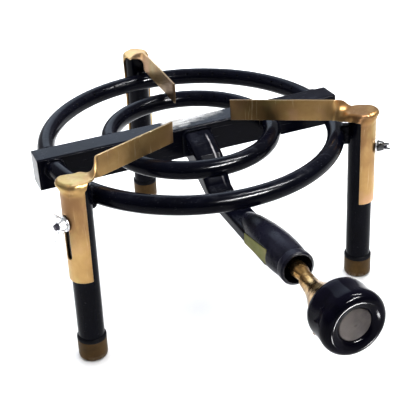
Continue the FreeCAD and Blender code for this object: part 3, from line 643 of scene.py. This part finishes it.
# ----------------------------------------------- pot supports, bent sheet
def support_mid(name):
    """Grid of points on the middle of the sheet: rows along the strip, columns across it."""
    r = LEG_R + 0.3 + SHEET / 2
    half = math.radians(86.0)
    zr = LEG_TOP + 0.05 + SHEET / 2          # middle of the roof sheet
    nv = 48
    rows = []
    turn = math.radians(ARM_TURN)
    vs = [u * (1 + 0.35 * (1 - u * u)) for u in (-1 + 2 * j / nv for j in range(nv + 1))]

    def turned(p, f):
        a = turn * f
        return Vector((p.x * math.cos(a) - p.y * math.sin(a), p.x * math.sin(a) + p.y * math.cos(a), p.z))

    over, vp, spread, crown, fall, drop, nb_ = FOLD[name]
    na = 9.5                                 # where the twist starts, from the leg axis
    bend = 3.0                               # length taken by the fold on each side of its corner

    # pressed creases where the half tube was folded over: place across the sheet, spread, depth
    creases = {"left": ((0.34, 0.10, 1.5), (0.76, 0.09, 1.4)), "right": ((-0.76, 0.09, 1.3), (-0.47, 0.10, 1.3)), "rear": ((0.30, 0.10, 0.8), (-0.35, 0.10, 0.8))}[name]

    def crease(v):
        return sum(d * math.exp(-((v - c) / w_) ** 2) for c, w_, d in creases)

    def reach(v):
        return r + over * math.exp(-((v - vp) / spread) ** 2) - 0.45 * crease(v)

    def corner(v):
        """Corner of the fold before rounding; the hood drapes down towards the sheet's edges."""
        a = half * v
        low = fall * smooth01((abs(v) - 0.60) / 0.40) ** 1.3
        lift = crown * math.exp(-((v - vp) / 0.55) ** 2)
        return Vector((reach(v) * math.cos(a), reach(v) * math.sin(a), zr + 0.35 + lift - low - 0.55 * crease(v)))

    def section(v, t):
        """Across the hood: flat over the tube, bent down at both sides."""
        w = lerp(13.45, 10.5, smooth01((t - 0.30) / 0.70)) if v < 0 else lerp(13.3, 10.5, smooth01(t / 0.85))
        side = smooth01(t / 1.0)
        # the side that turns down keeps its flap, the other one opens flat
        flap = lerp(fall - 2.0, drop - 2.0, side) if v < 0 else lerp(fall - 2.0, 0.0, smooth01(t / 0.45))
        ang = math.radians(88.0) if v < 0 else math.radians(lerp(88.0, -14.0, smooth01(t / 0.8)))
        rs = 2.2
        a_ = w - rs * math.sin(ang)
        total = a_ + rs * ang + flap
        q = abs(v) * total
        if q <= a_:
            y, z = q, 0.0
        elif q <= a_ + rs * ang:
            b = (q - a_) / rs
            y, z = a_ + rs * math.sin(b), -rs * (1 - math.cos(b))
        else:
            e = q - a_ - rs * ang
            y, z = a_ + rs * math.sin(ang) + e * math.cos(ang), -rs * (1 - math.cos(ang)) - e * math.sin(ang)
        return (y if v >= 0 else -y), z

    def hood(v, t):
        c = corner(v)
        y, z = section(v, t)
        f = smooth01(t / 0.45)
        lift = crown * math.exp(-((v - vp) / 0.55) ** 2) * (1 - smooth01(t))
        p = Vector((lerp(c.x, -na, t), lerp(c.y, y, f), lerp(c.z, zr + 0.35 * (1 - t) + lift + z, smooth01(t / 0.30))))
        return turned(p, smooth01(t))

    # sleeve, flaring a little below the fold
    for z in (88.0, 92, 98, 104, 110, 116, 122, 128, 134, 140, 146, 152, 158, 162, 165):
        rows.append([Vector((r * math.cos(half * v), r * math.sin(half * v), z)) for v in vs])
    nflare = 16
    for k in range(1, nflare + 1):
        q = k / nflare
        row = []
        for v in vs:
            c = corner(v)
            z = lerp(165.0, c.z - bend, q)
            th = half * v
            f = smooth01((z - (c.z - 9.5)) / 8.0)
            rho = lerp(r, reach(v), f)
            # pressed creases that cross below the fold
            d1 = (q - 0.80) - 0.35 * (abs(v - 0.35) - 0.15)
            d2 = (q - 0.80) + 0.45 * (abs(v - 0.35) - 0.20)
            dent = 0.75 * math.exp(-(d1 / 0.06) ** 2) + 0.75 * math.exp(-(d2 / 0.07) ** 2)
            dent *= smooth01(q / 0.3) * smooth01((1.0 - q) / 0.12) * max(0.0, 1 - abs(v) ** 3)
            rho += 0.25 * smooth01((q - 0.3) / 0.5) - min(dent, 0.9) * 0.35
            row.append(Vector((rho * math.cos(th), rho * math.sin(th), z)))
        rows.append(row)
    # the fold, a smooth turn from the wall into the hood
    tb = 0.13
    ends = [hood(v, tb) for v in vs]
    base = [rows[-1][j] for j in range(len(vs))]
    nfold = 9
    for k in range(1, nfold + 1):
        a = k / nfold
        row = []
        for j, v in enumerate(vs):
            c = corner(v)
            row.append(base[j] * (1 - a) ** 2 + c * (2 * a * (1 - a)) + ends[j] * a * a)
        rows.append(row)
    # the hood, narrowing to the neck
    n = 20
    for k in range(1, n + 1):
        t = lerp(tb, 1.0, k / n)
        rows.append([hood(v, t) for v in vs])
    last = rows[-1]
    # quarter twist with a pinch
    n = 24
    for k in range(1, n + 1):
        t = k / n
        e_ = smooth01(t)
        x = -(na + (nb_ - na) * t)
        ang = math.radians(90.0 * e_)
        h = 10.5 * (1 - 0.06 * math.sin(math.pi * t))
        yc = -ARM_OFF[name] * e_
        zc2 = lerp(zr, 184.0, e_)
        fade = (1 - smooth01(t / 0.8)) ** 1.2
        row = []
        for j, v in enumerate(vs):
            curl = 0.6 * math.sin(math.pi * t) * (v * v - 0.4)
            p = turned(Vector((x, yc + h * v * math.cos(ang) - curl * math.sin(ang), zc2 + h * v * math.sin(ang) + curl * math.cos(ang))), 1.0)
            flat = turned(Vector((-na, 10.5 * v, zr)), 1.0)
            row.append(p + (last[j] - flat) * fade)
        rows.append(row)
    # upright arm, with a slight waviness of cut sheet
    n = 16
    tip = ARM_TIP[name]
    for k in range(1, n + 1):
        t = k / n
        x = -lerp(nb_, tip, t)
        row = []
        for v in vs:
            wave = 0.18 * math.sin(x * 0.11 + 1.3) * math.sin(math.pi * t)
            row.append(turned(Vector((x, -ARM_OFF[name] + wave, 184.0 + 10.5 * v)), 1.0))
        rows.append(row)
    return rows


def sheet_solid(rows, thick):
    """Closed solid from a grid of mid-sheet points."""
    nr, nc = len(rows), len(rows[0])
    nrm = []
    for i in range(nr):
        line = []
        for j in range(nc):
            a = rows[min(i + 1, nr - 1)][j] - rows[max(i - 1, 0)][j]
            b = rows[i][min(j + 1, nc - 1)] - rows[i][max(j - 1, 0)]
            line.append(a.cross(b).normalized())
        nrm.append(line)
    # the normals that point outwards from the sleeve
    sgn = 1.0 if nrm[0][nc // 2].x > 0 else -1.0
    verts = []
    for s in (0.5, -0.5):
        for i in range(nr):
            for j in range(nc):
                verts.append(rows[i][j] + nrm[i][j] * (sgn * s * thick))
    o = nr * nc
    faces = []
    for i in range(nr - 1):
        for j in range(nc - 1):
            a = i * nc + j
            faces.append((a, a + 1, a + nc + 1, a + nc))
            faces.append((o + a, o + a + nc, o + a + nc + 1, o + a + 1))
    for i in range(nr - 1):
        a = i * nc
        faces.append((a, a + nc, o + a + nc, o + a))
        b = i * nc + nc - 1
        faces.append((b, o + b, o + b + nc, b + nc))
    for j in range(nc - 1):
        a = j
        faces.append((a, o + a, o + a + 1, a + 1))
        b = (nr - 1) * nc + j
        faces.append((b, b + 1, o + b + 1, o + b))
    return verts, faces


def slot_cutter():
    z0, z1, w = SLOT
    pts = []
    for k in range(17):
        a = math.pi * k / 16
        pts.append((w / 2 * math.cos(a), z1 - w / 2 + w / 2 * math.sin(a)))
    for k in range(17):
        a = math.pi + math.pi * k / 16
        pts.append((w / 2 * math.cos(a), z0 + w / 2 + w / 2 * math.sin(a)))
    n = len(pts)
    verts = [Vector((6.0, y, z)) for y, z in pts] + [Vector((22.0, y, z)) for y, z in pts]
    faces = [tuple(range(n)), tuple(range(2 * n - 1, n - 1, -1))]
    for k in range(n):
        faces.append((k, (k + 1) % n, n + (k + 1) % n, n + k))
    return verts, faces


def mesh_from(name, verts, faces):
    me = bpy.data.meshes.new(name)
    me.from_pydata([tuple(v) for v in verts], [], faces)
    bm = bmesh.new()
    bm.from_mesh(me)
    bmesh.ops.recalc_face_normals(bm, faces=bm.faces)
    bm.to_mesh(me)
    bm.free()
    return me


def apply_modifiers(ob):
    dg = bpy.context.evaluated_depsgraph_get()
    ev = ob.evaluated_get(dg)
    me = bpy.data.meshes.new_from_object(ev)
    old = ob.data
    ob.modifiers.clear()
    ob.data = me
    bpy.data.meshes.remove(old)


for side in ("left", "right", "rear"):
    mid = support_mid(side)
    sv, sf = sheet_solid(mid, SHEET)
    ob = bpy.data.objects.new("pot_support_%s_sheet" % side, mesh_from("sheet", sv, sf))
    SC.collection.objects.link(ob)
    cv, cf = slot_cutter()
    cutter = bpy.data.objects.new("cutter", mesh_from("cutter", cv, cf))
    SC.collection.objects.link(cutter)
    md = ob.modifiers.new("slot", "BOOLEAN")
    md.operation = "DIFFERENCE"
    md.solver = "EXACT"
    md.object = cutter
    bpy.context.view_layer.update()
    apply_modifiers(ob)
    bpy.data.objects.remove(cutter)
    mdb = ob.modifiers.new("edges", "BEVEL")
    mdb.width = 0.28
    mdb.segments = 2
    mdb.limit_method = "ANGLE"
    mdb.angle_limit = math.radians(50)
    bpy.context.view_layer.update()
    apply_modifiers(ob)
    me = ob.data
    me.transform(Matrix.Scale(MM, 4) @ leg_matrix(side))
    for p in me.polygons:
        p.use_smooth = True
    me.set_sharp_from_angle(angle=math.radians(40))
    me.materials.clear()
    me.materials.append(MATS["yellow_zinc"])
    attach(ob, "support_" + side)
    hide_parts("pot_support_" + side)


# ----------------------------------------------------- bolts with threads
def threaded_rod(r, pitch, x0, x1, chamfer=0.8, seg=32):
    """Threaded shank along +X as rings of points, closed at both ends."""
    depth = 0.42 * pitch
    steps = int((x1 - x0) / pitch * 8)
    verts, faces = [], []
    for i in range(steps + 1):
        x = lerp(x0, x1, i / steps)
        for k in range(seg):
            a = 2 * math.pi * k / seg
            ph = (x / pitch - k / seg) % 1.0
            tri = abs(ph - 0.5) * 2.0
            rr = r - depth * smooth01(tri)
            rr = min(rr, r - max(0.0, x - (x1 - chamfer)) * 0.75)
            verts.append(Vector((x, rr * math.cos(a), rr * math.sin(a))))
    for i in range(steps):
        for k in range(seg):
            a = i * seg + k
            b = i * seg + (k + 1) % seg
            faces.append((a, b, b + seg, a + seg))
    c0 = len(verts)
    verts.append(Vector((x0, 0, 0)))
    verts.append(Vector((x1 + 0.12, 0, 0)))
    for k in range(seg):
        faces.append((c0, (k + 1) % seg, k))
        b = steps * seg
        faces.append((c0 + 1, b + k, b + (k + 1) % seg))
    return verts, faces


bolt_v, bolt_f = [], []
for side in ("left", "right", "rear"):
    lm = leg_matrix(side)
    tv, tf = threaded_rod(2.97, 1.0, 12.4, 25.1)
    # plain shank and hexagon head inside the leg
    hv = []
    hf = []
    for x, rad in ((4.2, 4.9), (4.7, 5.6), (8.2, 5.6), (8.2, 2.9), (12.5, 2.6)):
        for k in range(24):
            a = 2 * math.pi * k / 24
            if rad > 4:
                # hexagon outline
                s = math.radians(30)
                rr = rad * math.cos(s) / math.cos((a % (2 * s)) - s)
            else:
                rr = rad
            hv.append(Vector((x, rr * math.cos(a), rr * math.sin(a))))
    for i in range(4):
        for k in range(24):
            a = i * 24 + k
            b = i * 24 + (k + 1) % 24
            hf.append((a, b, b + 24, a + 24))
    hf.append(tuple(range(23, -1, -1)))
    hf.append(tuple(range(96, 120)))
    for vs_, fs_ in ((tv, tf), (hv, hf)):
        off = len(bolt_v)
        for v in vs_:
            bolt_v.append((lm @ (v + Vector((0, 0, BOLT_Z)))) * MM)
        bolt_f += [tuple(i + off for i in f) for f in fs_]
bolts = make_obj("clamp_bolts_threaded", bolt_v, bolt_f, dark_bolt, "frame", 40)
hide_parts("clamp_bolts")


# ----------------------------------------------------------- wing nuts
def nut_mesh():
    """Pressed wing nut about local +Z, remeshed into one casting."""
    verts, faces = [], []

    def add(vs_, fs_):
        off = len(verts)
        verts.extend(vs_)
        faces.extend(tuple(i + off for i in f) for f in fs_)

    prof = [(3.15, 0.1), (5.3, 0.1), (5.6, 0.5), (5.5, 1.6), (4.9, 3.4), (4.5, 5.2), (4.2, 6.2), (3.8, 6.5), (3.15, 6.5)]
    seg = 48
    hv = []
    for r_, z_ in prof:
        for k in range(seg):
            a = 2 * math.pi * k / seg
            hv.append(Vector((r_ * math.cos(a), r_ * math.sin(a), z_)))
    hf = []
    n = len(prof)
    for i in range(n):
        for k in range(seg):
            a = i * seg + k
            b = i * seg + (k + 1) % seg
            c = ((i + 1) % n) * seg + (k + 1) % seg
            d = ((i + 1) % n) * seg + k
            hf.append((a, b, c, d))
    add(hv, hf)
    # wing: stations along a curved spine, rounded flat section
    spine = [(3.6, 3.4, 2.9, 1.15), (5.2, 3.9, 2.9, 1.10), (7.0, 5.1, 2.7, 1.00), (8.9, 6.8, 2.6, 0.95), (10.6, 8.6, 2.7, 0.95), (12.0, 10.3, 2.3, 0.95), (12.9, 11.5, 1.2, 0.75)]
    for sgn in (1, -1):
        wv, wf = [], []
        m_ = len(spine)
        for i, (u_, z_, h_, t_) in enumerate(spine):
            a0 = spine[max(i - 1, 0)]
            a1 = spine[min(i + 1, m_ - 1)]
            d = Vector((a1[0] - a0[0], 0, a1[1] - a0[1])).normalized()
            nrm = Vector((-d.z, 0, d.x))
            for k in range(16):
                a = 2 * math.pi * k / 16
                p = Vector((u_, 0, z_)) + nrm * (h_ * math.cos(a)) + Vector((0, t_ * (1 if math.sin(a) > 0 else -1) * abs(math.sin(a)) ** 0.6, 0))
                wv.append(Vector((p.x * sgn, p.y * sgn, p.z)))
        for i in range(m_ - 1):
            for k in range(16):
                a = i * 16 + k
                b = i * 16 + (k + 1) % 16
                wf.append((a, b, b + 16, a + 16))
        wf.append(tuple(range(15, -1, -1)))
        wf.append(tuple(range((m_ - 1) * 16, m_ * 16)))
        add(wv, wf)
    me = mesh_from("nut", verts, faces)
    ob_ = bpy.data.objects.new("nut_tmp", me)
    SC.collection.objects.link(ob_)
    rm = ob_.modifiers.new("remesh", "REMESH")
    rm.mode = "VOXEL"
    rm.voxel_size = 0.34
    sm = ob_.modifiers.new("smooth", "SMOOTH")
    sm.factor = 0.5
    sm.iterations = 4
    bpy.context.view_layer.update()
    apply_modifiers(ob_)
    out = ob_.data.copy()
    bpy.data.objects.remove(ob_)
    return out


nut_src = nut_mesh()
NUT_TURN = {"left": 14.0, "right": 52.0, "rear": 30.0}
for side in ("left", "right", "rear"):
    me = nut_src.copy()
    place = (Matrix.Scale(MM, 4) @ leg_matrix(side) @ Matrix.Translation((15.85, 0, BOLT_Z)) @ Matrix.Rotation(math.radians(90), 4, "Y")
             @ Matrix.Rotation(math.radians(NUT_TURN[side]), 4, "Z"))
    me.transform(place)
    for p in me.polygons:
        p.use_smooth = True
    ob = bpy.data.objects.new("wing_nut_%s_pressed" % side, me)
    SC.collection.objects.link(ob)
    me.materials.clear()
    # the right nut takes the darkened zinc copy, painted shade
    me.materials.append(shaded_zinc_copy if side == "right" else MATS["bright_zinc"])
    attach(ob, "nut_" + side)
    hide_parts("wing_nut_" + side)
    if side == "left":
        gloss_parts.objects.link(ob)


# ----------------------------------------------------------- weld beads
def bead_along(points, normals, width, height, seed, ripple=1.5, amp=0.16, closed=True, seg=9):
    """Half-round weld bead along a path that lies in a corner. normals point out of the corner."""
    rnd = random.Random(seed)
    n = len(points)
    verts, faces = [], []
    s = 0.0
    for i in range(n):
        p = points[i]
        q = points[(i + 1) % n] if closed or i + 1 < n else points[i - 1]
        o_ = points[i - 1] if closed or i > 0 else points[i]
        tdir = (q - o_).normalized()
        nn = normals[i]
        nn = (nn - tdir * nn.dot(tdir)).normalized()
        bb = tdir.cross(nn)
        s += (q - p).length
        k_ = 1.0 + amp * math.sin(2 * math.pi * s / ripple) + 0.22 * (noise.noise(p * 0.23 + Vector((seed, 0, 0))))
        for k in range(seg):
            a = math.pi * (k / (seg - 1)) * 1.25 - math.pi * 0.125
            verts.append(p + bb * (width * 0.5 * math.cos(a) * k_) + nn * (height * math.sin(a) * k_))
    m_ = n if closed else n - 1
    for i in range(m_):
        j = (i + 1) % n
        for k in range(seg):
            k2 = (k + 1) % seg
            faces.append((i * seg + k, i * seg + k2, j * seg + k2, j * seg + k))
    if not closed:
        faces.append(tuple(range(seg)))
        faces.append(tuple(range((n - 1) * seg, n * seg))[::-1])
    return verts, faces


def join_beads(name, parts, mat, body):
    verts, faces = [], []
    for vs_, fs_ in parts:
        off = len(verts)
        verts += [(v + Vector((BX, BY, 0))) * MM for v in vs_]
        faces += [tuple(i + off for i in f) for f in fs_]
    return make_obj(name, verts, faces, mat, body, 60)


beads = []
seed = 1
for R in (141.0, 79.4):
    for sx in (-1, 1):
        for sy in (-1, 1):
            xr = math.sqrt(R * R - 12.5 ** 2) * sx
            c = Vector((xr, 12.5 * sy, RING_Z))
            pts, nms = [], []
            N = 72
            for k in range(N):
                a = 2 * math.pi * k / N
                rad = Vector((math.cos(a), 0, math.sin(a)))
                pts.append(c + rad * 9.1 + Vector((0, 0.35 * sy, 0)))
                nms.append((rad + Vector((0, sy, 0))).normalized())
            beads.append(bead_along(pts, nms, 3.6, 1.7, seed))
            seed += 1
ring_welds = join_beads("ring_weld_beads", beads, MATS["black_enamel"], "frame")

# beads between legs and ring: two upright runs and a lump in between
beads = []
for side in ("left", "right", "rear"):
    a0 = math.radians(LEG_AZ[side])
    out = Vector((math.cos(a0), math.sin(a0), 0))
    tan = Vector((-math.sin(a0), math.cos(a0), 0))
    for sg in (1, -1):
        pts, nms = [], []
        for k in range(26):
            z = lerp(150.4, 167.6, k / 25)
            # ring outer face at this height, along the leg direction
            dz = z - RING_Z
            rr = 141.0 + math.sqrt(max(8.6 ** 2 - dz * dz, 0.0))
            leg_in = LEG_AXIS_R - LEG_R + (RING_Z - z) * math.tan(math.radians(SPLAY))
            rm_ = (rr + leg_in) / 2
            gap = max(leg_in - rr, 0.0)
            off = 3.2 - gap * 0.12
            pts.append(out * rm_ + tan * (sg * off) + Vector((0, 0, z)))
            nms.append((tan * sg).normalized())
        beads.append(bead_along(pts, nms, 4.8 + 0.4, 2.0, seed, 1.9, 0.2, False))
        seed += 1
leg_welds = join_beads("leg_weld_beads", beads, MATS["black_enamel"], "frame")

# bead round the riser's foot on the manifold face
pts, nms = [], []
x0, x1, z0, z1, rc = -12.5, 15.4, 140.0, 166.0, 5.0
corners = [(x1 - rc, z1 - rc, 0), (x0 + rc, z1 - rc, 90), (x0 + rc, z0 + rc, 180), (x1 - rc, z0 + rc, 270)]
loop = []
for cx, cz, a_ in corners:
    for k in range(8):
        a = math.radians(a_ + 90.0 * k / 7)
        loop.append((Vector((cx + rc * math.cos(a), 0, cz + rc * math.sin(a))), Vector((math.cos(a), 0, math.sin(a)))))
full = []
for i in range(len(loop)):
    p, n_ = loop[i]
    q, m_ = loop[(i + 1) % len(loop)]
    steps = max(1, int((q - p).length / 1.0))
    for k in range(steps):
        t = k / steps
        full.append((p.lerp(q, t), n_.lerp(m_, t).normalized()))
for p, n_ in full:
    pts.append(p + n_ * 0.4 + Vector((0, -12.9, 0)))
    nms.append((n_ + Vector((0, -1, 0))).normalized())
riser_weld = join_beads("riser_weld_bead", [bead_along(pts, nms, 3.4, 1.5, seed)], MATS["black_enamel"], "frame")


# ------------------------------------------------------------------- floor
def floor_material():
    mt, nt, bs = new_mat("floor_pale")
    t = T(nt, bs)
    col = t.ramp(t.noise(3.0, 4, 0.5), [(0.3, (0.87, 0.87, 0.87)), (0.7, (0.90, 0.90, 0.90))])
    t.set(Base_Color=col, Roughness=0.75, IOR=1.3)
    t.set(Normal=t.bump(t.noise(300, 3, 0.5), 0.05, 0.0002))
    return mt


fm = bpy.data.meshes.new("floor")
S = 6.0
fm.from_pydata([(-S, -S, cad_lo.z), (S, -S, cad_lo.z), (S, S, cad_lo.z), (-S, S, cad_lo.z)], [], [(0, 1, 2, 3)])
floor = bpy.data.objects.new("floor", fm)
SC.collection.objects.link(floor)
fm.materials.append(floor_material())

bpy.context.view_layer.update()
